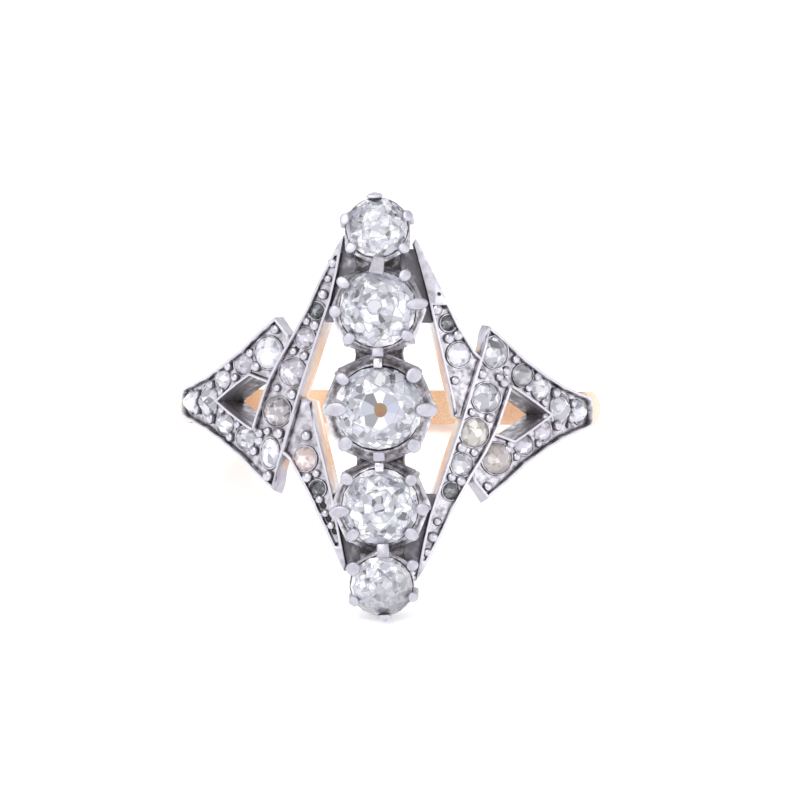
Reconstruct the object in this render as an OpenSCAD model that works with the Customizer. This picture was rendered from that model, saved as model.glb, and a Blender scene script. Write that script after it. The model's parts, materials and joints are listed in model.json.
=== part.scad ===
// Lozenge ring: five old-cut stones in a row between crossing bars, with pierced shoulders.
// Points and rows below are in millimetres, seen from the front: x across the finger, y along it.
// The finger hole is centred on the origin of that view, and z points out of the front.

/* [Finger] */
// Inside radius of the ring
finger_r = 8.6; // [8.55:0.05:8.7]
// Width of the band behind the finger
band_w = 1.65; // [1.5:0.05:1.8]
// Radius of the band's rounded back
band_r = 10.2; // [10.1:0.05:10.25]
// How far the band's edges fall away from its crown
band_round = 0.35; // [0.25:0.05:0.4]

/* [Front] */
// Radius of the seam between the gold backing and the white front
seam_r = 9.55; // [9.5:0.05:9.6]
// Radius of the front of the shoulders
shoulder_r = 10.35; // [10.3:0.05:10.4]
// How far the crossing bars stand above the shoulders
bar_rise = 0.15; // [0.1:0.05:0.2]
// Width of the rail along each edge
rail_w = 0.13; // [0.1:0.01:0.15]
// Depth of the beds between the rails
bed_d = 0.3; // [0.25:0.05:0.35]
// Half the length of the gold under the crossing bars
gold_y = 4.9; // [4.7:0.1:5]
// Radius of the grains
grain_r = 0.17; // [0.15:0.01:0.19]

/* [Stones] */
// Turn of the row of main stones in the front view
row_turn = 1.1; // [0:0.1:1.5]
// Narrowing of the middle stone along the row, as a share
cushion = 0.03; // [0:0.01:0.04]
// Height of a rose-cut stone as a share of its width
rose_rise = 0.34; // [0.3:0.01:0.38]
// Space between a stone and its metal
stone_gap = 0.03; // [0.02:0.01:0.04]

/* [Hidden] */
// The shoulder's edges: angle round the finger from the front, half width there
SHOULDER = [
    [30, 4.16], [36, 3.38], [42, 2.55], [50, 1.78], [57, 1.27], [65, 0.94], [70, 0.8], [74, 0.66]
];
// How far the left shoulder's middle line is above the middle of the finger hole
shoulder_lift = 0.17;
// The shoulder's inner side, hidden under the long bar from the second point to the fifth
SHOULDER_INNER = [[-5, -3.6], [-4.7, -1.5], [-4.6, 0], [-4.3, 2], [-4.51, 3.49]];
// Corners of the pierced triangle in the left shoulder, the last two hidden under the long bar
OPENING = [[-8.05, 0.28], [-6.43, 1.51], [-5.1, 1.02], [-5.95, -1.24]];
// Outline of the left long bar: outer edge from the tip, then inner edge back up
LONG_BAR = [
    [-1.79, 8.3], [-2.11, 7.83], [-3, 6.13], [-3.61, 4.77], [-4.39, 3.35], [-5.13, 2.09], [-5.63, 1.02],
    [-6.28, -0.97], [-5.26, -3.94], [-4.75, -2.2], [-3.9, 0.7], [-2.92, 3.68], [-2.43, 5.13], [-2.12, 6.5]
];
// Outlines of the two short bars, the right one turned half round: outer edge to the tip, inner edge back up
SHORT_BARS = [
    [
        [-4.02, 0.5], [-4.4, -0.75], [-4.82, -2.15], [-4.44, -2.5], [-3.56, -4], [-2.6, -5.95],
        [-1.7, -7.83], [-1.62, -7.5], [-2.28, -4.2], [-2.63, -2.75], [-3.05, -1.15], [-3.4, 0.3]
    ],
    [
        [-4.02, 0.5], [-4.4, -0.75], [-4.9, -2.4], [-4.55, -2.75], [-3.77, -4], [-2.72, -6.1],
        [-1.74, -7.93], [-1.62, -7.5], [-2.52, -4.2], [-2.9, -2.75], [-3.28, -1.15], [-3.64, 0.35]
    ]
];
// Floor between the bars at the upper tip
TIP_FLOOR = [[-2.86, 4.1], [-1.95, 7.9], [1.72, 7.75], [2.52, 4.1]];
// Directions that the cuts in the left half follow, as angles round the finger: white front, then gold
SHOULDER_TURN = -52;
LONG_TURN = -24;
SHORT_TURN = -17;
OPENING_TURN = -42;
GOLD_SHOULDER_TURN = 0;
GOLD_LONG_TURN = -12;
GOLD_SHORT_TURN = -11;

// Main stones: name, y, width, collet radius, claws, height of the girdle, outward lean
ROW = [
    ["diamond_top_end", 8.68, 3, 1.8, 6, 10.85, 17],
    ["diamond_upper", 4.75, 3.7, 2.33, 8, 11.3, 5],
    ["diamond_centre", 0, 4.13, 2.75, 8, 11.7, 0],
    ["diamond_lower", -4.72, 3.7, 2.4, 8, 11.3, -5],
    ["diamond_bottom_end", -8.55, 3, 1.75, 6, 10.85, -17]
];
function row_y(s) = s[1];
function row_r(s) = s[2] / 2;
function row_collet(s) = s[3];
function row_claws(s) = s[4];
function row_z(s) = s[5];
function row_lean(s) = s[6];

// Rose-cut stones: x, y, width, length, where it sits (0 shoulder, 1 bar)
LEFT = [
    [-5.62, 2.62, 1.6, 1.55, 0], [-6.91, 2.06, 1.15, 1, 0], [-7.98, 1.36, 1.05, 0.98, 0],
    [-8.71, 0.24, 1.4, 1.5, 0], [-9.66, 0.22, 1.2, 1.05, 0], [-7.87, -0.82, 1.2, 1.05, 0],
    [-6.78, -1.5, 1.2, 1.1, 0], [-5.5, -2.2, 1, 1.4, 1], [-5.15, -0.19, 1.5, 1.4, 1],
    [-4.39, 1.7, 1.4, 1.3, 1], [-3.77, 3.35, 1, 1, 1], [-3.18, 4.66, 0.78, 0.78, 1],
    [-3.72, -2.47, 1.15, 1.15, 1], [-3.08, -3.9, 0.78, 0.78, 1]
];
RIGHT = [
    [5.7, -2.4, 1.65, 1.5, 0], [7, -1.75, 1.1, 0.95, 0], [7.89, -1.07, 1.1, 1.05, 0],
    [8.67, 0, 1.4, 1.5, 0], [9.52, -0.15, 1.2, 1.1, 0], [7.77, 0.97, 1.15, 1.05, 0],
    [6.93, 1.6, 1.2, 1.05, 0], [5.58, 2.7, 1.4, 1.5, 1], [5.19, 0.53, 1.5, 1.4, 1],
    [4.63, -1.16, 1.45, 1.4, 1], [4.03, -2.69, 1.1, 1.1, 1], [3.5, -3.98, 0.8, 0.8, 1],
    [3.85, 2.6, 1.15, 1.15, 1], [3.32, 4.1, 0.75, 0.75, 1]
];
// Neighbours that share two grains, as places in the lists above
RUNS = [
    [0, 1], [1, 2], [2, 3], [3, 4], [3, 5], [5, 6], [6, 7], [7, 8], [8, 9], [9, 10], [10, 11], [12, 13]
];
// Lone grains of the left half: x, y, where it sits; the right half has them half a turn round
GRAINS = [
    [-5.25, 3.75, 0], [-6.2, 1.95, 0], [-5.55, -3.3, 1], [-6, -1.25, 1],
    [-3.65, -1.35, 1], [-2.85, 5.45, 1], [-2.62, 6.2, 1], [-2.38, 6.95, 1],
    [-2.75, -4.75, 1], [-2.45, -5.55, 1], [-2.2, -6.3, 1]
];

// Shape of a stone: table and star radius as shares of its radius, crown and pavilion as shares of its width
MAIN_CUT = [0.5, 0.76, 0.17, 0.4];
ROSE_CUT = [0.3, 0.68, rose_rise, 0];
main_sides = 8;
rose_sides = 6;
girdle_share = 0.02;
culet_share = 0.13;

// Shares: the pavilion's lower ring, how far a seat's stars drop, and the space under a flat base
lower_share = 0.6;
star_drop = 0.42;
base_gap_share = 0.6;
seat_sides = 24;
rose_seat_sides = 12;

// Radii of the front: its bars, the inside of its tips and the floor there
bar_r = shoulder_r + bar_rise;
tip_under_r = 9.1;
floor_r = 10.05;
// Space between the gold and the front, and how far the collets and necks reach inside it
seam_gap = 0.02;
below_seam = 0.35;
// Claws: radius, stretch, how far tips stand past the stone and feet inside the collet, and heights
claw_r = 0.2;
claw_long = 1.2;
claw_low = 0.8;
claw_broad = 1.6;
claw_past = 0.12;
claw_in = 0.12;
claw_tip_z = 0.3;
claw_foot_z = -0.55;
// Collets: foot's share of the width, height and width of the sloping shelf, hole under the stone
foot_share = 0.74;
shelf_h = 0.5;
shelf_w = 0.2;
hole_share = 0.35;
hole_deep = 4;
neck_w = 2.1;
neck_l = 1.2;
// Grains: foot, top and height as shares of the radius, how deep they sit, and how far apart a pair stands
grain_foot = 1.15;
grain_top = 0.6;
grain_rise = 1.2;
grain_sunk = 0.04;
grain_spread = 0.3;
// The gold: how far its profiles reach into the finger hole, and the strip under each shoulder's end
inside_cut = 0.6;
band_gap = 0.6;
strip_from = 60;
strip_low = 0.05;
hair = 0.01;
past_all = 14;

// Depth of the small flats worn on the band's edge and on the bottom claw, which the ring rests on
rest_worn = 0.08;

// The ring lies on its side: it turns until the band's edge and the bottom claw are level
band_arc = (band_w * band_w / 4 + band_round * band_round) / (2 * band_round);
end_stone = ROW[4];
end_lean = -row_lean(end_stone);
foot_out = row_collet(end_stone) - claw_in;
foot_y = row_y(end_stone) - foot_out * cos(end_lean) - claw_foot_z * sin(end_lean);
foot_z = row_z(end_stone) - foot_out * sin(end_lean) + claw_foot_z * cos(end_lean);
edge_y = -band_w / 2;
edge_z = -(band_r - band_round);
apart = norm([foot_y - edge_y, foot_z - edge_z]);
lie_turn = atan2(foot_y - edge_y, foot_z - edge_z) + acos(claw_r / apart);
lie_z = -(edge_y * sin(lie_turn) + edge_z * cos(lie_turn)) - rest_worn;
claw_out = row_r(end_stone) + claw_past;
front_y = row_y(end_stone) - claw_out * cos(end_lean) - claw_tip_z * sin(end_lean);
front_z = row_z(end_stone) - claw_out * sin(end_lean) + claw_tip_z * cos(end_lean);
front_reach = front_y * cos(lie_turn) - front_z * sin(lie_turn) - claw_r;
back_reach = (band_r - band_arc) * sin(lie_turn) + band_arc;
lie_y = -(front_reach + back_reach) / 2;

// Places the ring, modelled face up, as it lies by itself
module lying() {
    translate([0, lie_y, lie_z]) rotate([lie_turn, 0, 0]) children();
}

// Takes off the little that would be below the surface that the ring lies on
module worn_where_it_rests() {
    difference() {
        children();
        translate([-past_all, -past_all, -past_all]) cube([2 * past_all, 2 * past_all, past_all]);
    }
}

// Draws its children, and again turned half round for the other half of the ring
module both_halves() {
    children();
    rotate([0, 0, 180]) children();
}

module finger_cylinder(r, length = 2 * past_all, sides = 56) {
    rotate([90, 0, 0]) cylinder(r = r, h = length, center = true, $fn = sides);
}

// Angle round the finger of a point seen from the front at radius r
function round_angle(x, r) = asin(x / r);

// Outline of the left shoulder as seen from the front
function shoulder_outline(r) = concat(
    [for (s = SHOULDER) [-r * sin(s[0]), shoulder_lift + s[1]]],
    [for (i = [len(SHOULDER) - 1:-1:0]) [-r * sin(SHOULDER[i][0]), shoulder_lift - SHOULDER[i][1]]],
    SHOULDER_INNER
);

// A front outline carried inwards square to one direction, for the gold
module straight_cut(outline, r, turn) {
    rotate([0, turn, 0]) linear_extrude(height = past_all)
        polygon([for (p = outline) [r * sin(round_angle(p.x, r) - turn), p.y]]);
}

// A front outline carried inwards towards the finger's axis, grown by the given margin
module radial_cut(outline, r, turn, margin = 0) {
    low = 7.4;
    high = 11.4;
    rotate([0, turn, 0]) translate([0, 0, low])
        linear_extrude(height = high - low, scale = [high / low, 1], slices = 2) offset(delta = margin)
            polygon([for (p = outline) [low * tan(round_angle(p.x, r) - turn), p.y]]);
}

// A plate of the front with its bed sunk between rails; its child is left standing in the bed
module front_plate(outline, r, turn) {
    difference() {
        intersection() {
            radial_cut(outline, r, turn);
            finger_cylinder(r);
        }
        difference() {
            radial_cut(outline, r, turn, -rail_w);
            finger_cylinder(r - bed_d);
            children();
        }
    }
}

module shoulder_plate() {
    difference() {
        front_plate(shoulder_outline(shoulder_r), shoulder_r, SHOULDER_TURN)
            radial_cut(OPENING, shoulder_r, OPENING_TURN, rail_w);
        radial_cut(OPENING, shoulder_r, OPENING_TURN);
    }
}

// A stone with its girdle at z = 0: table, stars, kites and girdle facets, and a pavilion if it has one
function stone_ring(sides, r, z, turn = 0) =
    [for (i = [0:sides - 1]) [r * cos(360 * i / sides + turn), r * sin(360 * i / sides + turn), z]];

// Height of the ring where a pavilion's main and lower facets meet, so that the main facets are flat
function low_ring_share(sides) = (1 - lower_share * cos(180 / sides)) / (1 - culet_share);
function low_ring_z(r, sides, cut) =
    -2 * r * (girdle_share + (cut[3] - girdle_share) * low_ring_share(sides));

module cut_stone(r, sides, cut) {
    half = 180 / sides;
    girdle = 2 * r * girdle_share;
    table_r = r * cut[0];
    crown = 2 * r * cut[2];
    star_r = r * cut[1];
    star_z = girdle + (crown - girdle) * (r - star_r * cos(half)) / (r - table_r);
    deep = cut[3] > 0;
    culet_r = r * culet_share;
    points = concat(
        stone_ring(sides, table_r, crown),
        stone_ring(sides, star_r, star_z, half),
        stone_ring(2 * sides, r, girdle),
        stone_ring(2 * sides, r, deep ? -girdle : 0),
        deep ? stone_ring(sides, r * lower_share, low_ring_z(r, sides, cut), half) : [],
        deep ? stone_ring(sides, culet_r, -2 * r * cut[3]) : []
    );
    // Places in the list: t table, s star ring, g upper and h lower girdle, p pavilion ring, c culet
    s = sides;
    g = 2 * sides;
    h = 4 * sides;
    p = 6 * sides;
    c = 7 * sides;
    n = sides;
    crown_faces = concat(
        [[for (i = [n - 1:-1:0]) i]],
        [for (i = [0:n - 1]) [i, (i + 1) % n, s + i]],
        [for (i = [0:n - 1]) [i, s + i, g + 2 * i, s + (i + n - 1) % n]],
        [for (i = [0:n - 1]) [s + i, g + 2 * i + 1, g + 2 * i]],
        [for (i = [0:n - 1]) [s + i, g + (2 * i + 2) % (2 * n), g + 2 * i + 1]],
        [for (i = [0:2 * n - 1]) [g + i, g + (i + 1) % (2 * n), h + (i + 1) % (2 * n), h + i]]
    );
    pavilion_faces = concat(
        [for (i = [0:n - 1]) [p + i, h + 2 * i, h + 2 * i + 1]],
        [for (i = [0:n - 1]) [p + i, h + 2 * i + 1, h + (2 * i + 2) % (2 * n)]],
        [for (i = [0:n - 1]) [c + i, p + (i + n - 1) % n, h + 2 * i, p + i]],
        [for (i = [0:n - 1]) [c + i, p + i, c + (i + 1) % n]],
        [[for (i = [0:n - 1]) c + i]]
    );
    flat_base = [[for (i = [0:2 * n - 1]) h + i]];
    polyhedron(points, concat(crown_faces, deep ? pavilion_faces : flat_base));
}

// The space that a stone takes, with its gap, turned round so that it clears every facet
module stone_space(r, cut, sides) {
    grow = 1 / cos(180 / sides);
    wide = (r + stone_gap) * grow;
    girdle = 2 * r * girdle_share + stone_gap;
    crown = 2 * r * cut[2] + stone_gap;
    star_r = (r * cut[1] + 2 * stone_gap) * grow;
    star_z = crown - (crown - girdle) * star_drop;
    table_r = (r * cut[0] + 2 * stone_gap) * grow;
    deep = 2 * r * cut[3] + stone_gap;
    culet_r = (r * culet_share + 2 * stone_gap) * grow;
    low = [(r * lower_share + 2 * stone_gap) * grow, low_ring_z(r, main_sides, cut)];
    below = cut[3] > 0 ? [[culet_r, -deep], low, [wide, -girdle]] : [[wide, -base_gap_share * stone_gap]];
    top = [[wide, girdle], [star_r, star_z], [table_r, crown], [0, crown]];
    rotate_extrude($fn = sides) polygon(concat([[0, below[0].y]], below, top));
}

// Places its children at a main stone's girdle
module at_row(s) {
    rotate([0, 0, row_turn]) translate([0, row_y(s), row_z(s)]) rotate([-row_lean(s), 0, 0]) children();
}

function claw_turn(s) = row_claws(s) == 6 ? 30 : 0;

// A crown collet: a tapered cup that slopes up to the stone's girdle
module collet(s) {
    r = row_r(s);
    out = row_collet(s);
    deep = row_z(s) - seam_r + below_seam;
    $fn = row_claws(s);
    rotate([0, 0, claw_turn(s)]) {
        translate([0, 0, -deep]) cylinder(r1 = out * foot_share, r2 = out, h = deep - shelf_h);
        translate([0, 0, -shelf_h]) cylinder(r1 = out, r2 = r + shelf_w, h = shelf_h);
    }
}

// One claw: from the collet's shoulder up and over the stone's edge
module claw(s, broad) {
    tip = row_r(s) + claw_past;
    foot = row_collet(s) - claw_in;
    hull() {
        translate([foot, 0, claw_foot_z]) sphere(r = claw_r, $fn = 6);
        translate([tip, 0, claw_tip_z]) scale([claw_long, broad, claw_low]) sphere(r = claw_r, $fn = 6);
    }
}

module claws(s) {
    n = row_claws(s);
    for (i = [0:n - 1]) {
        sideways = row_y(s) == 0 && i % 4 == 0;
        rotate([0, 0, 360 * i / n + claw_turn(s)]) claw(s, sideways ? claw_broad : 1);
    }
}

// Metal between two collets of the row
module neck(a, b) {
    edge_a = row_y(a) - row_collet(a);
    edge_b = row_y(b) + row_collet(b);
    middle = (edge_a + edge_b) / 2;
    top = min(row_z(a), row_z(b)) + claw_foot_z;
    rotate([0, 0, row_turn]) translate([-neck_w / 2, middle - neck_l / 2, seam_r - below_seam])
        cube([neck_w, neck_l, top - seam_r + below_seam]);
}

function seat_r(stone) = stone[4] == 1 ? bar_r : shoulder_r;

// Places its children on the bed under a small stone or a grain
module on_bed(x, y, r) {
    rotate([0, round_angle(x, r), 0]) translate([0, y, r - bed_d]) children();
}

module at_rose(stone) {
    on_bed(stone.x, stone.y, seat_r(stone)) translate([0, 0, stone_gap])
        scale([1, stone[3] / stone[2], 1]) children();
}

module grain(x, y, r) {
    on_bed(x, y, r) translate([0, 0, -grain_sunk])
        cylinder(r1 = grain_r * grain_foot, r2 = grain_r * grain_top, h = grain_r * grain_rise, $fn = 6);
}

// How far a small stone reaches along a line, as seen from the front
function seen_reach(stone, way) =
    norm([way.x * stone[2] * cos(round_angle(stone.x, seat_r(stone))), way.y * stone[3]]) / 2 / norm(way);

// Two grains between neighbours, on either side of the line that joins them
module shared_grains(a, b) {
    r = min(seat_r(a), seat_r(b));
    way = [b.x - a.x, b.y - a.y];
    share = 0.5 + (seen_reach(a, way) - seen_reach(b, way)) / 2 / norm(way);
    middle = [a.x, a.y] + way * share;
    side = [-way.y, way.x] / norm(way) * grain_spread * min(a[2], b[2]);
    for (k = [-1, 1]) grain(middle.x + k * side.x, middle.y + k * side.y, r);
}

// The white front before the stones' spaces are taken out
module front_metal() {
    both_halves() {
        shoulder_plate();
        front_plate(LONG_BAR, bar_r, LONG_TURN);
        intersection() {
            linear_extrude(height = past_all) polygon(TIP_FLOOR);
            finger_cylinder(floor_r);
        }
        for (g = GRAINS) grain(g.x, g.y, g[2] == 1 ? bar_r : shoulder_r);
    }
    for (k = [0, 1]) rotate([0, 0, 180 * k]) front_plate(SHORT_BARS[k], bar_r, SHORT_TURN);
    for (half = [LEFT, RIGHT], run = RUNS) shared_grains(half[run[0]], half[run[1]]);
    for (s = ROW) at_row(s) {
        collet(s);
        claws(s);
    }
    for (i = [0:len(ROW) - 2]) neck(ROW[i], ROW[i + 1]);
}

module stone_spaces() {
    for (s = ROW) at_row(s) {
        squash = row_y(s) == 0 ? cushion : 0;
        scale([1 + squash, 1 - squash, 1]) stone_space(row_r(s), MAIN_CUT, seat_sides);
        translate([0, 0, -hole_deep]) cylinder(r = row_r(s) * hole_share, h = hole_deep, $fn = 16);
    }
    for (stone = concat(LEFT, RIGHT)) at_rose(stone) stone_space(stone[2] / 2, ROSE_CUT, rose_seat_sides);
}

module setting() {
    color([0.78, 0.77, 0.8]) worn_where_it_rests() lying() union() {
        difference() {
            front_metal();
            stone_spaces();
            finger_cylinder(seam_r + seam_gap, 2 * (gold_y + seam_gap));
            finger_cylinder(tip_under_r);
        }
    }
}

// The band's cross-section: flat inside, rounded outside
module band_profile() {
    inner = finger_r - inside_cut;
    intersection() {
        translate([inner, -band_w / 2]) square([band_r - inner, band_w]);
        union() {
            translate([band_r - band_arc, 0]) circle(r = band_arc, $fn = 64);
            translate([inner, -band_w / 2]) square([band_r - band_round - inner - hair, band_w]);
        }
    }
}

// Draws its children, a profile, round the finger between two angles from the front
module round_finger(from, to) {
    rotate([90, 0, 0]) rotate([0, 0, 90 - to]) rotate_extrude(angle = to - from, $fn = 96) children();
}

// The gold under a crossing bar
module gold_bar(outline, turn) {
    intersection() {
        straight_cut(outline, bar_r, turn);
        translate([-past_all, -gold_y, 0]) cube([2 * past_all, 2 * gold_y, past_all]);
    }
}

module shank() {
    band_from = SHOULDER[len(SHOULDER) - 1][0] + band_gap;
    strip_turn = band_from + 1 - strip_from;
    strip_h = seam_r - strip_low - finger_r + inside_cut;
    color([0.93, 0.74, 0.55]) worn_where_it_rests() lying() difference() {
        union() {
            round_finger(band_from, 360 - band_from) band_profile();
            for (from = [strip_from, 360 - strip_from - strip_turn]) round_finger(from, from + strip_turn)
                translate([finger_r - inside_cut, -band_w / 2]) square([strip_h, band_w]);
            intersection() {
                union() {
                    both_halves() {
                        difference() {
                            straight_cut(shoulder_outline(seam_r), seam_r, GOLD_SHOULDER_TURN);
                            straight_cut(OPENING, shoulder_r, OPENING_TURN);
                        }
                        gold_bar(LONG_BAR, GOLD_LONG_TURN);
                    }
                    for (k = [0, 1]) rotate([0, 0, 180 * k]) gold_bar(SHORT_BARS[k], GOLD_SHORT_TURN);
                }
                finger_cylinder(seam_r);
            }
        }
        finger_cylinder(finger_r);
    }
}

module main_stone(s) {
    squash = row_y(s) == 0 ? cushion : 0;
    color([0.93, 0.94, 0.97]) lying() at_row(s)
        scale([1 + squash, 1 - squash, 1]) cut_stone(row_r(s), main_sides, MAIN_CUT);
}

module rose_stone(stone) {
    color([0.8, 0.8, 0.84]) lying() at_rose(stone) cut_stone(stone[2] / 2, rose_sides, ROSE_CUT);
}

shank();
setting();
for (s = ROW) main_stone(s);
for (i = [1:len(LEFT)]) rose_stone(LEFT[i - 1]);
for (i = [1:len(RIGHT)]) rose_stone(RIGHT[i - 1]);
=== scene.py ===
import json
import math

import bmesh
import bpy
from mathutils import Matrix, Quaternion, Vector


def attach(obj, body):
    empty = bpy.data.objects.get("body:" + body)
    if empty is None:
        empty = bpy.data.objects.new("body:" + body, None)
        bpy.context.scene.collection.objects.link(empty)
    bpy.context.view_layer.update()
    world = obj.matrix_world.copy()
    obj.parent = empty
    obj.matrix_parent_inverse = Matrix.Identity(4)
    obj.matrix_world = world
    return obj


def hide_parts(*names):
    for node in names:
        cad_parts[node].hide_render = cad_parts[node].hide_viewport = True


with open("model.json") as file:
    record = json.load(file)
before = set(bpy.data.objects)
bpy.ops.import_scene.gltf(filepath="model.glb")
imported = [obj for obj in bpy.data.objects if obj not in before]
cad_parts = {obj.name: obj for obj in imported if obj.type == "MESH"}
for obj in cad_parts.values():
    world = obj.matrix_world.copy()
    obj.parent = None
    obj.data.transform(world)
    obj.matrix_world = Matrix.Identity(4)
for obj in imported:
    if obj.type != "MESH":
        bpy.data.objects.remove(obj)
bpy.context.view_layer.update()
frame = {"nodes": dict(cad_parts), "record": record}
print("frame:", len(frame["nodes"]), "solids")

# The ring is drawn face up in millimetres, with the finger along y, and is then laid on its side.
fingerHole = frame["record"]["mounts"][0]
lieTurn = math.atan2(fingerHole["axis"][2], fingerHole["axis"][1])
lying = Matrix.Translation(fingerHole["pos_m"]) @ Matrix.Rotation(lieTurn, 4, "X") @ Matrix.Scale(0.001, 4)

shot = {
    "azimuth": 3.0,
    "elevation": 25.5,
    "roll": -0.94,
    "distance": 1.5,
    "metresPerPixel": 0.0481e-3,
    "photoHeight": 800,
    "photoMiddle": (394, 400),
    "culetPixel": (380.2, 408),  # where the middle stone's culet shows
    "culet": (0, 0, 10.05),
    "sensor": 36,
    "clipStart": 0.01,
}


def direction(azimuth, elevation):
    az, el = math.radians(azimuth), math.radians(elevation)
    return Vector((math.sin(az) * math.cos(el), -math.cos(az) * math.cos(el), math.sin(el)))


def turnedBy(degrees):
    return Matrix.Rotation(math.radians(degrees), 4, "Z")


def makeCamera():
    back = direction(shot["azimuth"], shot["elevation"])
    look = (-back).to_track_quat("-Z", "Y") @ Quaternion((0, 0, 1), math.radians(shot["roll"]))
    step = shot["metresPerPixel"]
    right = look @ Vector((1, 0, 0)) * (shot["photoMiddle"][0] - shot["culetPixel"][0]) * step
    up = look @ Vector((0, 1, 0)) * (shot["culetPixel"][1] - shot["photoMiddle"][1]) * step
    camera = bpy.data.objects.new("camera", bpy.data.cameras.new("camera"))
    camera.rotation_euler = look.to_euler()
    camera.location = lying @ Vector(shot["culet"]) + right + up + back * shot["distance"]
    camera.data.sensor_width = shot["sensor"]
    camera.data.lens = shot["distance"] * shot["sensor"] / shot["photoHeight"] / step
    camera.data.clip_start = shot["clipStart"]
    bpy.context.scene.collection.objects.link(camera)
    bpy.context.scene.camera = camera


makeCamera()
print("camera at", shot["azimuth"], shot["elevation"])


# Small helpers for material nodes
def newMaterial(name):
    material = bpy.data.materials.new(name)
    material.use_nodes = True
    return material, material.node_tree, material.node_tree.nodes["Principled BSDF"]


def feed(tree, made, values):
    for key, value in values.items():
        if isinstance(value, bpy.types.NodeSocket):
            tree.links.new(value, made.inputs[key])
        else:
            made.inputs[key].default_value = value


def node(tree, kind, inputs=None, **settings):
    made = tree.nodes.new("ShaderNode" + kind)
    for key, value in settings.items():
        setattr(made, key, value)
    feed(tree, made, inputs or {})
    return made


def calc(tree, operation, *values, clamp=False):
    return node(tree, "Math", dict(enumerate(values)), operation=operation, use_clamp=clamp).outputs[0]


def vectorCalc(tree, operation, vector, by):
    inputs = {0: vector, "Scale" if operation == "SCALE" else 1: by}
    return node(tree, "VectorMath", inputs, operation=operation).outputs[0]


def hypotenuse(tree, a, b):
    return calc(tree, "SQRT", calc(tree, "MULTIPLY_ADD", a, a, calc(tree, "MULTIPLY", b, b)))


def ramp(tree, factor, stops, interpolation="LINEAR"):
    made = node(tree, "ValToRGB", {"Fac": factor})
    made.color_ramp.interpolation = interpolation
    elements = made.color_ramp.elements
    while len(elements) < len(stops):
        elements.new(1.0)
    for element, (place, colour) in zip(elements, stops):
        element.position = place
        element.color = (*colour, 1)
    return made.outputs["Color"]


def mixColour(tree, factor, first, second):
    return node(tree, "Mix", {0: factor, 6: first, 7: second}, data_type="RGBA").outputs[2]


def between01(tree, value, limits):
    low, high = limits
    return node(tree, "MapRange", {"Value": value, "From Min": low, "From Max": high}).outputs[0]


def noise(tree, where, scale, detail=3.0, roughness=0.55):
    made = node(tree, "TexNoise", {"Vector": where, "Scale": scale, "Detail": detail, "Roughness": roughness})
    return made.outputs[0]


def bump(tree, height, distance):
    return node(tree, "Bump", {"Height": height, "Distance": distance}).outputs["Normal"]


whiteMetal = {
    # clean metal, then the grey of the worn beds, then the dark of dirt and painted shade in the corners
    "tones": [
        (0.0, (0.84, 0.83, 0.88)), (0.3, (0.60, 0.58, 0.63)),
        (0.6, (0.26, 0.24, 0.25)), (1.0, (0.03, 0.026, 0.024)),
    ],
    "worn": [(0.38, (0.42, 0.41, 0.47)), (0.6, (0.64, 0.63, 0.70))],
    "goldTint": (0.93, 0.66, 0.42, 1),
    "blotches": (2600, 4.0, 0.62),  # scale, detail and roughness
    "unevenClean": 0.9,
    "unevenDirtAndShade": 1.6,
    "dirtAndShadeFrom": (1.0, 0.8),  # where dirt and painted shade take the metal's place
    "smooth": 0.2,
    "dull": 0.3,
    "wornRoughness": 0.3,
    "pits": 9000,
    "pitDepth": 0.000012,
}


def makeWhiteMetal():
    material, tree, shader = newMaterial("white metal")
    where = node(tree, "TexCoord").outputs["Object"]
    patinaAndShade = node(tree, "Attribute", attribute_name="patinaAndShade").outputs["Color"]
    share = node(tree, "SeparateColor", {"Color": patinaAndShade}).outputs  # red tarnish and painted shade, green gold, blue wear
    blotch = calc(tree, "SUBTRACT", noise(tree, where, *whiteMetal["blotches"]), 0.5)
    spread = calc(tree, "MULTIPLY_ADD", share["Red"], whiteMetal["unevenDirtAndShade"], whiteMetal["unevenClean"])
    dirtAndShade = calc(tree, "MULTIPLY_ADD", blotch, spread, share["Red"], clamp=True)
    worn = ramp(tree, calc(tree, "ADD", blotch, 0.5), whiteMetal["worn"])
    colour = mixColour(tree, share["Blue"], ramp(tree, dirtAndShade, whiteMetal["tones"]), worn)
    colour = mixColour(tree, share["Green"], colour, whiteMetal["goldTint"])
    rough = calc(tree, "MULTIPLY_ADD", dirtAndShade, whiteMetal["dull"], whiteMetal["smooth"])
    feed(tree, shader, {
        "Base Color": colour,
        "Roughness": calc(tree, "MULTIPLY_ADD", share["Blue"], whiteMetal["wornRoughness"], rough),
        "Metallic": between01(tree, dirtAndShade, whiteMetal["dirtAndShadeFrom"]),
        "Normal": bump(tree, noise(tree, where, whiteMetal["pits"]), whiteMetal["pitDepth"]),
    })
    return material


roseGold = {
    "tones": [(0.3, (0.79, 0.51, 0.33)), (0.52, (0.88, 0.64, 0.45)), (0.75, (0.89, 0.72, 0.56))],
    # painted glare: the outer gold under the white front is painted pale
    "paintedGlare": (0.95, 0.86, 0.79, 1),
    "paintedGlareFrom": (0.00863, 0.00885),  # radius from the finger's axis
    "paintedGlareShare": 0.8,
    "silver": (0.74, 0.72, 0.76, 1),
    "silverFrom": (0.0024, 0.0036),  # distance along the finger
    "seam": (0.16, 0.12, 0.11, 1),
    "seamFrom": (0.00949, 0.00952),
    "frontFrom": (0.0024, 0.0028),  # where the gold under the white front starts, which is painted pale there as glare
    "cloud": (700, 4.0, 0.6),  # scale, detail and roughness
    "scratch": (26000, 2.0),
    "stretch": (0.12, 1.0, 1.0),
    "scratchDepth": 0.000004,
    "smooth": 0.16,
    "dull": 0.2,
}


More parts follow.
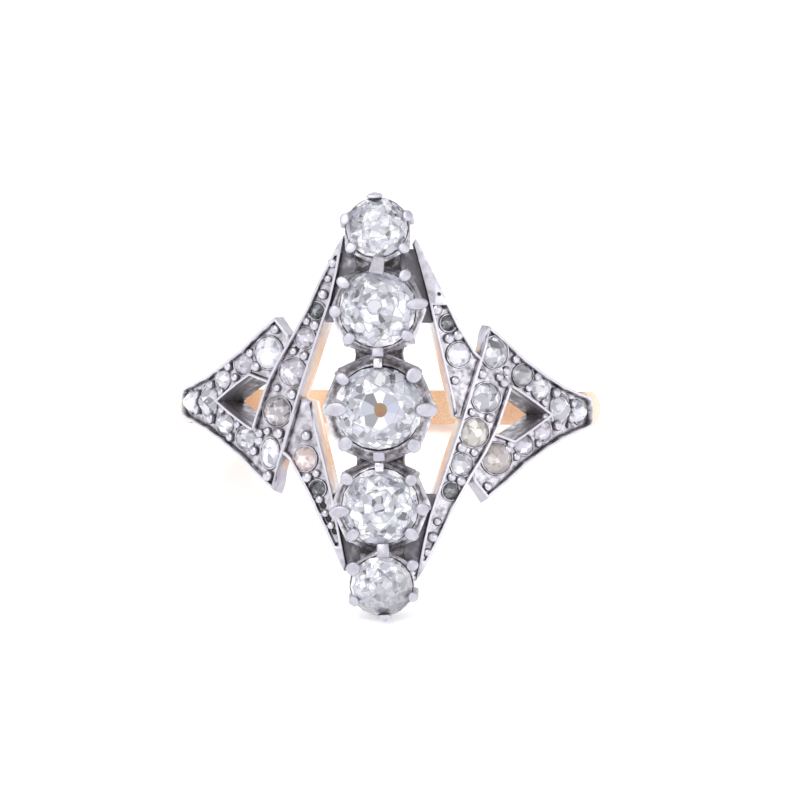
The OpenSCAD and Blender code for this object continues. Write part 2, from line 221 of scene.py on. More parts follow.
def makeRoseGold():
    material, tree, shader = newMaterial("rose gold")
    where = node(tree, "TexCoord").outputs["Object"]
    cloud = noise(tree, where, *roseGold["cloud"])
    laid = {"Vector": where, "Location": fingerHole["pos_m"], "Rotation": (lieTurn, 0, 0)}
    faceUp = node(tree, "Mapping", laid, vector_type="TEXTURE")
    xyz = node(tree, "SeparateXYZ", {"Vector": faceUp.outputs[0]}).outputs
    reach = hypotenuse(tree, xyz[0], xyz[2])
    colour = ramp(tree, cloud, roseGold["tones"])
    isUnderFront = between01(tree, xyz[2], roseGold["frontFrom"])
    # painted glare on the outer gold under the front
    paintedGlare = calc(tree, "MULTIPLY", between01(tree, reach, roseGold["paintedGlareFrom"]), roseGold["paintedGlareShare"])
    paintedGlare = calc(tree, "MULTIPLY", paintedGlare, isUnderFront)
    colour = mixColour(tree, paintedGlare, colour, roseGold["paintedGlare"])
    silver = between01(tree, calc(tree, "ABSOLUTE", xyz[1]), roseGold["silverFrom"])
    colour = mixColour(tree, silver, colour, roseGold["silver"])
    seam = calc(tree, "MULTIPLY", between01(tree, reach, roseGold["seamFrom"]), isUnderFront)
    colour = mixColour(tree, seam, colour, roseGold["seam"])
    along = node(tree, "Mapping", {"Vector": where, "Scale": roseGold["stretch"]}).outputs[0]
    scratch = noise(tree, along, *roseGold["scratch"])
    feed(tree, shader, {
        "Base Color": colour,
        "Roughness": calc(tree, "MULTIPLY_ADD", scratch, roseGold["dull"], roseGold["smooth"]),
        "Metallic": 1.0,
        "Normal": bump(tree, scratch, roseGold["scratchDepth"]),
    })
    return material


rowTurn = 1.1  # degrees between the row and the finger
# The row of old-cut stones. Each claw is its angle, its distance from the stone's middle,
# its length and its width.
row = {
    "diamond_top_end": {
        "y": 8.68, "width": 3.0, "collet": 1.8, "sides": 6, "z": 10.85, "lean": 17, "turn": 12, "seed": 3,
        "claws": [
            (94, 1.5, 0.3, 0.7), (167, 1.58, 0.42, 0.54), (18, 1.56, 0.44, 0.52), (221, 1.66, 0.5, 0.46),
            (-41, 1.74, 0.5, 0.46),
        ],
    },
    "diamond_upper": {
        "y": 4.75, "width": 3.7, "collet": 2.33, "sides": 8, "z": 11.3, "lean": 5, "turn": 5, "seed": 8,
        "claws": [
            (142, 2.08, 0.62, 0.48), (50, 2.08, 0.56, 0.5), (6, 1.92, 0.95, 0.5), (183, 2.04, 0.5, 0.55),
            (226, 2.0, 0.56, 0.5), (-43, 1.95, 0.56, 0.5),
        ],
    },
    "diamond_centre": {
        "y": 0.0, "width": 4.13, "collet": 2.75, "sides": 8, "z": 11.7, "lean": 0, "turn": 0, "seed": 1,
        "claws": [
            (181, 2.05, 0.98, 0.6), (-3, 2.34, 0.96, 0.6), (140, 2.22, 0.62, 0.5), (42, 2.34, 0.72, 0.64),
            (226.5, 2.33, 0.64, 0.6), (-47, 2.5, 0.6, 0.6),
        ],
    },
    "diamond_lower": {
        "y": -4.72, "width": 3.7, "collet": 2.4, "sides": 8, "z": 11.3, "lean": -5, "turn": 20, "seed": 5,
        "claws": [
            (186, 1.98, 0.9, 0.5), (-4, 2.05, 0.56, 0.55), (225, 1.9, 0.6, 0.5), (-42, 2.02, 0.62, 0.55),
            (139, 2.08, 0.6, 0.5), (40, 1.98, 0.52, 0.5),
        ],
    },
    "diamond_bottom_end": {
        "y": -8.55, "width": 3.0, "collet": 1.75, "sides": 6, "z": 10.85, "lean": -17, "turn": 33, "seed": 11,
        "paintedShadeFrom": (0.3, -0.15),  # where its half with painted shade starts, by height across the stone
        "claws": [
            (144, 1.65, 0.6, 0.6), (36, 1.88, 0.52, 0.48), (206, 1.5, 0.4, 0.5), (-18, 1.58, 0.42, 0.44),
            (-86, 1.47, 0.3, 0.6),
        ],
    },
}


def stoneFrame(stone):
    place = Matrix.Translation((0, stone["y"], stone["z"]))
    lean = Matrix.Rotation(math.radians(-stone["lean"]), 4, "X")
    return turnedBy(rowTurn) @ place @ lean


oldCut = {
    "sides": 8,
    "culet": 0.16,
    # each ring of facets seen in the stone: inner edge, how far its points reach, and points to a side
    "rings": [(0.4, 0.04, 1), (0.66, -0.16, 1), (0.72, 0.14, 2), (0.9, -0.08, 2)],
    "warp": 0.3,
    "warpScale": 1.6,
    "line": 0.012,  # half the width of a line between two facets
    "lineTone": (0.42, 0.42, 0.46, 1),
    # painted shade laid over the bottom end stone's lower half
    "paintedShade": (0.27, 0.265, 0.29, 1),
    "paintedShadeShare": 0.62,
    # chips get smaller towards the rim
    "chips": 2.6,
    "crowding": 2.6,
    "chipShare": 0.5,
    # painted reflections: each facet's tone, dark to white, stands in for the light the stone reflects and
    # bends
    "tones": [
        (0.0, (0.07, 0.07, 0.09)), (0.16, (0.24, 0.24, 0.28)), (0.30, (0.42, 0.43, 0.48)),
        (0.42, (0.58, 0.59, 0.68)), (0.54, (0.74, 0.75, 0.82)), (0.68, (1.0, 1.0, 1.0)),
    ],
    "culetTones": [(0.35, (0.34, 0.13, 0.05)), (0.65, (0.32, 0.22, 0.08))],
    "culetMottle": 3,
    "sink": (0.05, -0.015),  # how far the middle stone's depth shows to the side
    # painted reflections in the middle stone's star, from the right and then turning upwards
    "star": [
        (0.56, 0.59, 0.74), (0.52, 0.51, 0.62), (1.0, 1.0, 1.0), (0.22, 0.22, 0.24),
        (0.54, 0.59, 0.67), (0.34, 0.34, 0.38), (1.0, 1.0, 1.0), (0.70, 0.70, 0.84),
    ],
    "roughness": 0.06,
    "ior": 2.2,
    "transmission": 0.15,
}


def makeMosaic():
    group = bpy.data.node_groups.new("facet mosaic", "ShaderNodeTree")
    for name, way, kind in (("Place", "INPUT", "Vector"), ("Seed", "INPUT", "Float"),
                            ("Shade", "OUTPUT", "Float"), ("Ring", "OUTPUT", "Float"),
                            ("Turn", "OUTPUT", "Float"), ("Line", "OUTPUT", "Float")):
        group.interface.new_socket(name, in_out=way, socket_type="NodeSocket" + kind)
    given = group.nodes.new("NodeGroupInput").outputs
    result = group.nodes.new("NodeGroupOutput")
    # the cutting is by hand, so nothing is quite even
    uneven = {"Vector": given["Place"], "W": given["Seed"], "Scale": oldCut["warpScale"], "Detail": 0.0}
    warp = node(group, "TexNoise", uneven, noise_dimensions="4D").outputs["Color"]
    warp = vectorCalc(group, "SCALE", vectorCalc(group, "SUBTRACT", warp, (0.5,) * 3), oldCut["warp"])
    xyz = node(group, "SeparateXYZ", {"Vector": vectorCalc(group, "ADD", given["Place"], warp)}).outputs
    turn = calc(group, "MULTIPLY", calc(group, "ARCTAN2", xyz[1], xyz[0]), oldCut["sides"] / math.tau)
    # measured square to the nearest side, so that the facets' edges come out straight
    halfTurn = calc(group, "MULTIPLY", turn, 2.0)
    offSide = calc(group, "SUBTRACT", calc(group, "FRACT", halfTurn), 0.5)
    offSide = calc(group, "COSINE", calc(group, "MULTIPLY", offSide, math.tau / oldCut["sides"] / 2))
    reach = calc(group, "MULTIPLY", hypotenuse(group, xyz[0], xyz[1]), offSide)
    ring = calc(group, "GREATER_THAN", reach, oldCut["culet"])
    edgeNear = calc(group, "ABSOLUTE", calc(group, "SUBTRACT", reach, oldCut["culet"]))
    for inner, point, rate in oldCut["rings"]:
        saw = calc(group, "FRACT", calc(group, "MULTIPLY", turn, rate))
        wave = calc(group, "ABSOLUTE", calc(group, "SUBTRACT", saw, 0.5))
        edge = calc(group, "MULTIPLY_ADD", wave, 2 * point, inner)
        ring = calc(group, "ADD", ring, calc(group, "GREATER_THAN", reach, edge))
        away = calc(group, "ABSOLUTE", calc(group, "SUBTRACT", reach, edge))
        edgeNear = calc(group, "MINIMUM", edgeNear, away)
    sector = calc(group, "FLOOR", calc(group, "MULTIPLY_ADD", ring, 0.5, halfTurn))
    sector = calc(group, "MULTIPLY", sector, calc(group, "MINIMUM", ring, 1.0))  # the culet is one facet
    cell = node(group, "CombineXYZ", {0: sector, 1: ring, 2: given["Seed"]}).outputs[0]
    facet = node(group, "TexWhiteNoise", {"Vector": cell}, noise_dimensions="3D").outputs["Value"]
    crowd = calc(group, "MULTIPLY_ADD", reach, oldCut["crowding"], oldCut["chips"])
    crowded = {"Vector": vectorCalc(group, "SCALE", given["Place"], crowd), "W": given["Seed"], "Scale": 1.0}
    chips = node(group, "TexVoronoi", crowded, voronoi_dimensions="4D", distance="MANHATTAN")
    chip = node(group, "SeparateColor", {"Color": chips.outputs["Color"]}).outputs["Red"]
    shade = calc(group, "MULTIPLY", facet, 1 - oldCut["chipShare"])
    feed(group, result, {
        "Shade": calc(group, "MULTIPLY_ADD", chip, oldCut["chipShare"], shade),
        "Ring": ring,
        "Line": calc(group, "LESS_THAN", edgeNear, oldCut["line"]),
        "Turn": calc(group, "DIVIDE", turn, oldCut["sides"]),
    })
    return group


def makeDiamond(name, stone, mosaic):
    material, tree, shader = newMaterial(name + " facets")
    middle, turn, size = (lying @ stoneFrame(stone)).decompose()
    turn = turn @ Matrix.Rotation(math.radians(stone["turn"]), 3, "Z").to_quaternion()
    own = {
        "Vector": node(tree, "TexCoord").outputs["Object"], "Location": middle,
        "Rotation": turn.to_euler(), "Scale": size * stone["width"] / 2,
    }
    place = node(tree, "Mapping", own, vector_type="TEXTURE").outputs[0]
    if name == "diamond_centre":
        place = vectorCalc(tree, "SUBTRACT", place, (*oldCut["sink"], 0))
    facets = tree.nodes.new("ShaderNodeGroup")
    facets.node_tree = mosaic
    feed(tree, facets, {"Place": place, "Seed": stone["seed"]})
    seen = facets.outputs
    # the facets' painted reflections
    colour = ramp(tree, seen["Shade"], oldCut["tones"], "CONSTANT")
    colour = mixColour(tree, seen["Line"], colour, oldCut["lineTone"])
    # painted shade: the bottom end stone's lower half is greyed
    if "paintedShadeFrom" in stone:
        across = node(tree, "SeparateXYZ", {"Vector": place}).outputs[1]
        paintedShade = calc(tree, "MULTIPLY", between01(tree, across, stone["paintedShadeFrom"]), oldCut["paintedShadeShare"])
        colour = mixColour(tree, paintedShade, colour, oldCut["paintedShade"])
    if name == "diamond_centre":
        step = 1 / len(oldCut["star"])
        ray = calc(tree, "FRACT", calc(tree, "ADD", seen["Turn"], 1 + step / 2))
        star = ramp(tree, ray, [(k * step, tone) for k, tone in enumerate(oldCut["star"])], "CONSTANT")
        colour = mixColour(tree, calc(tree, "COMPARE", seen["Ring"], 1, 0.1), colour, star)
        brown = ramp(tree, noise(tree, place, oldCut["culetMottle"]), oldCut["culetTones"])
        colour = mixColour(tree, calc(tree, "LESS_THAN", seen["Ring"], 0.5), colour, brown)
    feed(tree, shader, {
        "Base Color": colour, "Roughness": oldCut["roughness"], "IOR": oldCut["ior"],
        "Transmission Weight": oldCut["transmission"],
    })
    return material


# Small stones: x, y, width, length, seat and tone
smallStones = {
    "left": [
        (-5.62, 2.62, 1.6, 1.55, "shoulder", "bright"), (-6.91, 2.06, 1.15, 1, "shoulder", "lilac"),
        (-7.98, 1.36, 1.05, 0.98, "shoulder", "clear"), (-8.71, 0.24, 1.4, 1.5, "shoulder", "clear"),
        (-9.66, 0.22, 1.2, 1.05, "shoulder", "bright"), (-7.87, -0.82, 1.2, 1.05, "shoulder", "clear"),
        (-6.78, -1.5, 1.2, 1.1, "shoulder", "clear"), (-5.5, -2.2, 1, 1.4, "bar", "bright"),
        (-5.15, -0.19, 1.5, 1.4, "bar", "smoky"), (-4.39, 1.7, 1.4, 1.3, "bar", "lilac"),
        (-3.77, 3.35, 1, 1, "bar", "lilac"), (-3.18, 4.66, 0.78, 0.78, "bar", "slate"),
        (-3.72, -2.47, 1.15, 1.15, "bar", "pink"), (-3.08, -3.9, 0.78, 0.78, "bar", "slate"),
    ],
    "right": [
        (5.7, -2.4, 1.65, 1.5, "shoulder", "taupe"), (7, -1.75, 1.1, 0.95, "shoulder", "lilac"),
        (7.89, -1.07, 1.1, 1.05, "shoulder", "lilac"), (8.67, 0, 1.4, 1.5, "shoulder", "clear"),
        (9.52, -0.15, 1.2, 1.1, "shoulder", "bright"), (7.77, 0.97, 1.15, 1.05, "shoulder", "clear"),
        (6.93, 1.6, 1.2, 1.05, "shoulder", "flat"), (5.58, 2.7, 1.4, 1.5, "bar", "clear"),
        (5.19, 0.53, 1.5, 1.4, "bar", "clear"), (4.63, -1.16, 1.45, 1.4, "bar", "yellow"),
        (4.03, -2.69, 1.1, 1.1, "bar", "clear"), (3.5, -3.98, 0.8, 0.8, "bar", "slate"),
        (3.85, 2.6, 1.15, 1.15, "bar", "bright"), (3.32, 4.1, 0.75, 0.75, "bar", "slate"),
    ],
}
# neighbours that share two beads
runs = [(0, 1), (1, 2), (2, 3), (3, 4), (3, 5), (5, 6), (6, 7), (7, 8), (8, 9), (9, 10), (10, 11), (12, 13)]

roseCut = {
    # from a facet in shade to one that catches the light
    "tones": {
        "bright": [(0.42, 0.42, 0.50), (0.72, 0.72, 0.80), (0.92, 0.92, 0.96), (1.0, 1.0, 1.0)],
        "clear": [(0.20, 0.20, 0.22), (0.46, 0.46, 0.50), (0.70, 0.70, 0.75), (1.0, 1.0, 1.0)],
        "lilac": [(0.26, 0.24, 0.28), (0.48, 0.45, 0.51), (0.64, 0.60, 0.68), (0.96, 0.95, 1.0)],
        "smoky": [(0.18, 0.16, 0.17), (0.40, 0.37, 0.38), (0.62, 0.59, 0.62), (0.98, 0.97, 1.0)],
        "pink": [(0.50, 0.38, 0.36), (0.72, 0.58, 0.56), (0.90, 0.80, 0.78), (1.0, 0.97, 0.96)],
        "yellow": [(0.38, 0.35, 0.33), (0.58, 0.55, 0.51), (0.76, 0.73, 0.70), (1.0, 0.98, 0.90)],
        "taupe": [(0.34, 0.30, 0.29), (0.46, 0.41, 0.40), (0.56, 0.51, 0.49), (0.72, 0.67, 0.66)],
        "flat": [(0.28, 0.28, 0.30), (0.36, 0.36, 0.38), (0.42, 0.42, 0.44), (0.52, 0.52, 0.55)],
        "slate": [(0.03, 0.035, 0.04), (0.09, 0.10, 0.11), (0.16, 0.17, 0.18), (0.34, 0.36, 0.38)],
    },
    "spread": (0.0, 0.22, 0.52, 0.76),
    "normalStep": 0.06,  # facets closer in direction than this look the same
    "chips": 2600,
    "chipShare": 0.4,
    "roughness": 0.08,
    "ior": 1.9,
}


def makeRoseCut(tone):
    material, tree, shader = newMaterial("rose cut " + tone)
    where = node(tree, "TexCoord").outputs["Object"]
    facing = node(tree, "NewGeometry").outputs["True Normal"]
    facing = vectorCalc(tree, "SNAP", facing, (roseCut["normalStep"],) * 3)
    facet = node(tree, "TexWhiteNoise", {"Vector": facing}, noise_dimensions="3D").outputs["Value"]
    chips = node(tree, "TexVoronoi", {"Vector": where, "Scale": roseCut["chips"]}, distance="MANHATTAN")
    chip = node(tree, "SeparateColor", {"Color": chips.outputs["Color"]}).outputs["Red"]
    shade = calc(tree, "MULTIPLY", facet, 1 - roseCut["chipShare"])
    shade = calc(tree, "MULTIPLY_ADD", chip, roseCut["chipShare"], shade)
    colour = ramp(tree, shade, list(zip(roseCut["spread"], roseCut["tones"][tone])), "CONSTANT")
    feed(tree, shader, {"Base Color": colour, "Roughness": roseCut["roughness"], "IOR": roseCut["ior"]})
    return material


white, gold = makeWhiteMetal(), makeRoseGold()
mosaic = makeMosaic()


def paint(name, material):
    solid = frame["nodes"][name]
    solid.data.materials.clear()
    solid.data.materials.append(material)


paint("shank", gold)
for name, stone in row.items():
    paint(name, makeDiamond(name, stone, mosaic))
roseMaterials = {tone: makeRoseCut(tone) for tone in roseCut["tones"]}
for word, stones in smallStones.items():
    for place, stone in enumerate(stones, 1):
        paint(f"rose_{word}_{place}", roseMaterials[stone[5]])
print("materials on the gold,", len(row), "large stones and", len(roseMaterials), "kinds of small ones")


# Helpers for the new metal, all in millimetres with the ring face up
tiny = 1e-5


def rub(bm, tarnishAndShade, goldShare=0, worn=0):  # each the same all over, or worked out for a face's corner
    layer = bm.loops.layers.float_color.get("patinaAndShade") or bm.loops.layers.float_color.new("patinaAndShade")
    for face in bm.faces:
        for corner in face.loops:
            shares = (tarnishAndShade, goldShare, worn)
            shares = [share(face, corner.vert) if callable(share) else share for share in shares]
            corner[layer] = (*shares, 1)


def addPiece(bm, name, smoothAngle=35):
    bmesh.ops.transform(bm, matrix=lying, verts=bm.verts)
    for v in bm.verts:  # worn flat where the ring rests
        v.co.z = max(v.co.z, 0)
    mesh = bpy.data.meshes.new(name)
    bm.to_mesh(mesh)
    bm.free()
    mesh.shade_smooth()
    mesh.set_sharp_from_angle(angle=math.radians(smoothAngle))
    mesh.materials.append(white)
    piece = bpy.data.objects.new(name, mesh)
    bpy.context.scene.collection.objects.link(piece)
    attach(piece, "root")
    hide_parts("setting")


def startPiece():  # one that is put together from parts
    bm = bmesh.new()
    bm.loops.layers.float_color.new("patinaAndShade")
    return bm


def addTo(whole, part):
    mesh = bpy.data.meshes.new("part")
    part.to_mesh(mesh)
    part.free()
    whole.from_mesh(mesh)
    bpy.data.meshes.remove(mesh)


def ball(segments, radius, place):
    bm = bmesh.new()
    around, up = segments
    bmesh.ops.create_uvsphere(bm, u_segments=around, v_segments=up, radius=radius, matrix=place)
    return bm


def newVerts(made):
    return [g for g in made["geom"] if isinstance(g, bmesh.types.BMVert)]


def cutAt(bm, point, across):
    everything = bm.verts[:] + bm.edges[:] + bm.faces[:]
    bmesh.ops.bisect_plane(bm, geom=everything, dist=tiny, plane_co=point, plane_no=across)


def soften(bm, edges, offset, segments=2):
    bmesh.ops.bevel(bm, geom=edges, offset=offset, segments=segments, profile=0.5, affect="EDGES",
                    material=-1, clamp_overlap=True)


front = {
    "seam": 9.57,  # radius where the white front meets its gold backing
    "rail": 0.13,
    "railFall": 0.035,  # run of the rail's inner side
    "railSpare": 0.02,  # how far beyond a rail it is still pressed flat
    "bed": 0.28,
    "edge": 0.028,  # rounding along the rails
    "sharpFrom": 0.5,  # angle of the edges that are rounded
    "strip": 0.35,  # width of the strips that follow the finger's round
    "hidden": 0.12,  # how far under a bar a shoulder's rail is cut away
    "openingFoot": 8.63,  # radius
    "openingIn": 0.12,  # how far its walls close in at the foot
    "openingTurn": -42,  # direction in which it is cut
    "openingDeep": 0.9,  # its walls reach below this
    "cut": 0.45,  # where a side changes from clean metal to the gold's colour
    "gilt": 0.6,
    "giltTo": 4.0,
    "giltFade": 1.2,
    "tipWall": (4.4, 7.6),  # where a bar's inner wall is black beside the end stones
    "level": 0.05,  # heights nearer than this count as one
    # how far a face's normal leans, to tell what kind it is
    "lean": {"flat": 0.9, "upright": 0.02, "side": 0.3, "inner": 0.2, "up": 0.3, "rail": 0.5},
    # how dark each kind of face is painted: tarnish and painted shade together
    "tones": {
        "top": 0.08, "bed": 0.36, "plainEnd": 0.3, "floor": 0.85, "floorRight": 1.0, "railTop": 0.25,
        "railFoot": 0.9, "openingUp": 0.5, "openingDown": 0.72, "tipWall": 0.95, "side": 0.16,
    },
    "rightFrom": 0.5,
    "sideWorn": 0.35,
    "railWorn": 0.3,
}
# The left and upper plates. The others are the same after a half turn, but for what they have of their own.
plates = {
    "shoulder": {
        "outline": [
            (-5.175, 4.33), (-6.084, 3.55), (-6.925, 2.72), (-7.929, 1.95), (-8.680, 1.44), (-9.380, 1.11),
            (-9.726, 0.97), (-9.91, 0.84), (-9.97, 0.6), (-9.97, -0.26), (-9.91, -0.5), (-9.726, -0.63),
            (-9.380, -0.77), (-8.680, -1.10), (-7.929, -1.61), (-6.925, -2.38), (-6.084, -3.21),
            (-5.175, -3.99), (-5, -3.6), (-4.7, -1.5), (-4.6, 0), (-4.3, 2), (-4.51, 3.49),
        ],
        "opening": [(-8.05, 0.28), (-6.43, 1.51), (-5.1, 1.02), (-5.95, -1.24)],
        "radius": 10.35, "flareUp": 0.05, "flareDown": 0.3, "bedFrom": -9, "bedTo": 9, "isGilt": False,
    },
    "long_bar": {
        "outline": [
            (-1.79, 8.3), (-2.11, 7.83), (-3, 6.13), (-3.61, 4.77), (-4.39, 3.35), (-5.13, 2.09),
            (-5.63, 1.02), (-6.28, -0.97), (-5.26, -3.94), (-4.75, -2.2), (-3.9, 0.7), (-2.92, 3.68),
            (-2.43, 5.13), (-2.12, 6.5),
        ],
        "noRail": [(-6.1, -1.3), (-5.4, -3.55)],
        "radius": 10.5, "flareUp": 0.03, "flareDown": 0.1, "bedFrom": -9, "bedTo": 7.45, "isGilt": True,
    },
    "short_bar": {
        "outline": [
            (-4.02, 0.5), (-4.4, -0.75), (-4.82, -2.15), (-4.44, -2.5), (-3.56, -4), (-2.6, -5.95),
            (-1.7, -7.83), (-1.62, -7.5), (-2.28, -4.2), (-2.63, -2.75), (-3.05, -1.15), (-3.4, 0.3),
        ],
        "right": {
            "bedFrom": -5.1,
            "outline": [
                (-4.02, 0.5), (-4.4, -0.75), (-4.9, -2.4), (-4.55, -2.75), (-3.77, -4), (-2.75, -6.1),
                (-1.72, -8.12), (-1.6, -7.9), (-2.2, -5.75), (-2.55, -4.2), (-2.9, -2.75), (-3.28, -1.15),
                (-3.64, 0.35),
            ],
        },
        "noRail": [(-4.02, 0.5), (-3.5, 0.33)],
        "radius": 10.48, "flareUp": 0.03, "flareDown": 0.1, "bedFrom": -6.8, "bedTo": 0.6, "isGilt": True,
    },
    "tip_floor": {
        "outline": [(-2.86, 4.1), (-1.95, 7.9), (1.72, 7.64), (2.52, 4.1)],
        "seam": 9.1,
        "radius": 10.05, "flareUp": 0, "flareDown": 0, "bedFrom": 0, "bedTo": 0, "isGilt": False,
    },
}


def unrolled(x, radius):
    return radius * math.asin(x / radius)


def outward(edge):
    a, b = (v.co for v in edge.verts)
    side = (b - a).cross(Vector((0, 0, 1))).normalized()
    inside = edge.link_faces[0].calc_center_median() - a
    return -side if side.dot(inside) > 0 else side


def openingFoot(along, radius):  # where a line of its wall meets the gold
    turn = math.radians(front["openingTurn"])
    out = Vector((radius * math.sin(along / radius), radius * math.cos(along / radius)))
    down = Vector((-math.sin(turn), -math.cos(turn)))
    half = out.dot(down)
    step = -half - math.sqrt(half * half - out.length_squared + front["openingFoot"] ** 2)
    foot = out + down * step
    return radius * math.atan2(foot.x, foot.y), front["openingFoot"] - radius


def gap(point, a, b):  # from a point to the line between two others
    side, way = Vector(b) - Vector(a), point - Vector(a)
    return (way - side * min(1, max(0, way.dot(side) / side.length_squared))).length


def insideBy(point, outline):  # below zero outside
    isInside, nearest = False, math.inf
    for a, b in zip(outline, outline[1:] + outline[:1]):
        if (a[1] > point.y) != (b[1] > point.y):
            crossing = a[0] + (point.y - a[1]) * (b[0] - a[0]) / (b[1] - a[1])
            isInside = isInside != (point.x < crossing)
        nearest = min(nearest, gap(point, a, b))
    return nearest if isInside else -nearest


def fillOutline(bm, plate):
    edges = []
    for loop in (plate["outline"], plate.get("opening", [])):
        corners = [bm.verts.new((unrolled(x, plate["radius"]), y, 0)) for x, y in loop]
        edges += [bm.edges.new(pair) for pair in zip(corners, corners[1:] + corners[:1])]
    bmesh.ops.triangle_fill(bm, edges=edges, use_beauty=True, normal=(0, 0, 1))
    if bm.faces[:][0].normal.z < 0:
        bmesh.ops.reverse_faces(bm, faces=bm.faces)


def sinkBed(bm, plate):
    start, end = plate["bedFrom"], plate["bedTo"]  # thin tips have no bed
    for limit in (start, end):
        cutAt(bm, (0, limit, 0), (0, 1, 0))
    bed = [f for f in bm.faces if start < f.calc_center_median().y < end]
    if bed:
        for step in (front["rail"], front["railFall"]):
            bmesh.ops.inset_region(bm, faces=bed, thickness=step, use_boundary=True, use_even_offset=True)
        bmesh.ops.translate(bm, verts=list({v for f in bed for v in f.verts}), vec=(0, 0, -front["bed"]))


def dropSides(bm, plate, isTurned):  # down to the gold, wider at the foot
    radius = plate["radius"]
    flare = {True: plate["flareUp"], False: plate["flareDown"]}  # whether a side ends up facing up
    corners = [Vector((unrolled(x, radius), y, 0)) for x, y in plate.get("opening", [])]
    rim = [e for e in bm.edges if e.is_boundary]
    ways, feet = {}, []
    for edge in rim:
        for v in edge.verts:
            ways.setdefault(v.co.copy().freeze(), []).append(outward(edge).y)
    for v in newVerts(bmesh.ops.extrude_edge_only(bm, edges=rim)):
        away = ways[v.co.copy().freeze()]
        away = sum(away) / len(away)
        if any((v.co - corner).length < tiny * 10 for corner in corners):
            v.co.x, v.co.z = openingFoot(v.co.x, radius)
            feet.append(v)
        else:
            v.co.y += flare[(away > 0) != isTurned] * away
            v.co.z = plate["seam"] - radius
    if feet:  # the walls close in a little, in front of the gold's own
        middle = sum((v.co.xy for v in feet), Vector((0, 0))) / len(feet)
        for v in feet:
            v.co.xy += (middle - v.co.xy).normalized() * front["openingIn"]
    bmesh.ops.triangle_fill(bm, edges=[e for e in bm.edges if e.is_boundary], use_beauty=True)
    bmesh.ops.recalc_face_normals(bm, faces=bm.faces)


def cutStrips(bm):
    cutAt(bm, (0, 0, -front["cut"]), (0, 0, 1))
    low, high = min(v.co.x for v in bm.verts), max(v.co.x for v in bm.verts)
    for k in range(1, int((high - low) / front["strip"]) + 1):
        cutAt(bm, (low + k * front["strip"], 0, 0), (1, 0, 0))


def flattenRails(bm, plate):  # a shoulder's rail ends under the long bar, and some sides have none
    radius, bare = plate["radius"], plate.get("noRail", [])
    reach = front["rail"] + front["railFall"] + front["railSpare"]
    for v in bm.verts:
        point = Vector((radius * math.sin(v.co.x / radius), v.co.y))
        isUnder = "opening" in plate and insideBy(point, plates["long_bar"]["outline"]) > front["hidden"]
        isBare = any(gap(point, a, b) < reach for a, b in zip(bare, bare[1:]))
        if v.co.z > -front["bed"] and (isUnder or isBare):
            v.co.z = -front["bed"]
    bm.normal_update()


def paintPlate(bm, plate, isTurned):
    tones, bed, level, lean = front["tones"], front["bed"], front["level"], front["lean"]

    def lowest(face):
        return min(corner.co.z for corner in face.verts)

    def isSide(face):
        return abs(face.normal.z) < lean["side"] and lowest(face) < -bed - level

    def isTipWall(face):
        start, end = front["tipWall"]
        isInner = plate["isGilt"] and isSide(face) and face.normal.x > lean["inner"]
        return isInner and start < abs(face.calc_center_median().y) < end

    def tarnishAndShade(face, v):
        if face.normal.z > lean["flat"]:  # the tops, beds and floors
            if plate["bedFrom"] == plate["bedTo"]:
                return tones["floorRight"] if v.co.x > front["rightFrom"] else tones["floor"]
            if not plate["bedFrom"] < v.co.y < plate["bedTo"]:
                return tones["plainEnd"]
            return tones["bed"] if v.co.z < -level else tones["top"]
        if v.co.z > -bed - level and lean["upright"] < abs(face.normal.z) < lean["flat"]:  # inside a rail
            return tones["railFoot"] if v.co.z < -level else tones["railTop"]
        # painted shade: the opening's walls that face up are painted lighter than the others
        if "opening" in plate and lowest(face) < -front["openingDeep"]:
            return tones["openingUp"] if (face.normal.y > lean["up"]) != isTurned else tones["openingDown"]
        return tones["tipWall"] if isTipWall(face) else tones["side"]

    def gilt(face, v):
        isHigh = face.calc_center_median().z > -front["cut"]
        if not plate["isGilt"] or not isSide(face) or isHigh or face.normal.x < lean["inner"]:
            return 0
        return front["gilt"] * min(1, max(0, (front["giltTo"] - abs(v.co.y)) / front["giltFade"]))

    def worn(face, v):
        if not isSide(face):
            return front["railWorn"] if face.normal.z > lean["rail"] and v.co.z > -level else 0
        isDeep = "opening" in plate and v.co.z < -front["openingDeep"]
        return 0 if isDeep or isTipWall(face) else front["sideWorn"]

    rub(bm, tarnishAndShade, gilt, worn)


def makePlate(plate, isTurned):
    bm = bmesh.new()
    fillOutline(bm, plate)
    sinkBed(bm, plate)
    dropSides(bm, plate, isTurned)
    onTop = [e for e in bm.edges if min(v.co.z for v in e.verts) > -tiny]
    soften(bm, [e for e in onTop if e.calc_face_angle(0) > front["sharpFrom"]], front["edge"])
    cutStrips(bm)
    flattenRails(bm, plate)
    paintPlate(bm, plate, isTurned)
    for v in bm.verts:  # rolled round the finger
        angle, out = v.co.x / plate["radius"], plate["radius"] + v.co.z
        v.co = (out * math.sin(angle), v.co.y, out * math.cos(angle))
    return bm


for name, plate in plates.items():
    for word, end, degrees in (("left", "top", 0), ("right", "bottom", 180)):
        bm = makePlate({"seam": front["seam"], **plate, **plate.get(word, {})}, degrees == 180)
        bmesh.ops.transform(bm, matrix=turnedBy(degrees), verts=bm.verts)
        addPiece(bm, f"{name}_{end if name == 'tip_floor' else word}")
print("plates:", ", ".join(plates))

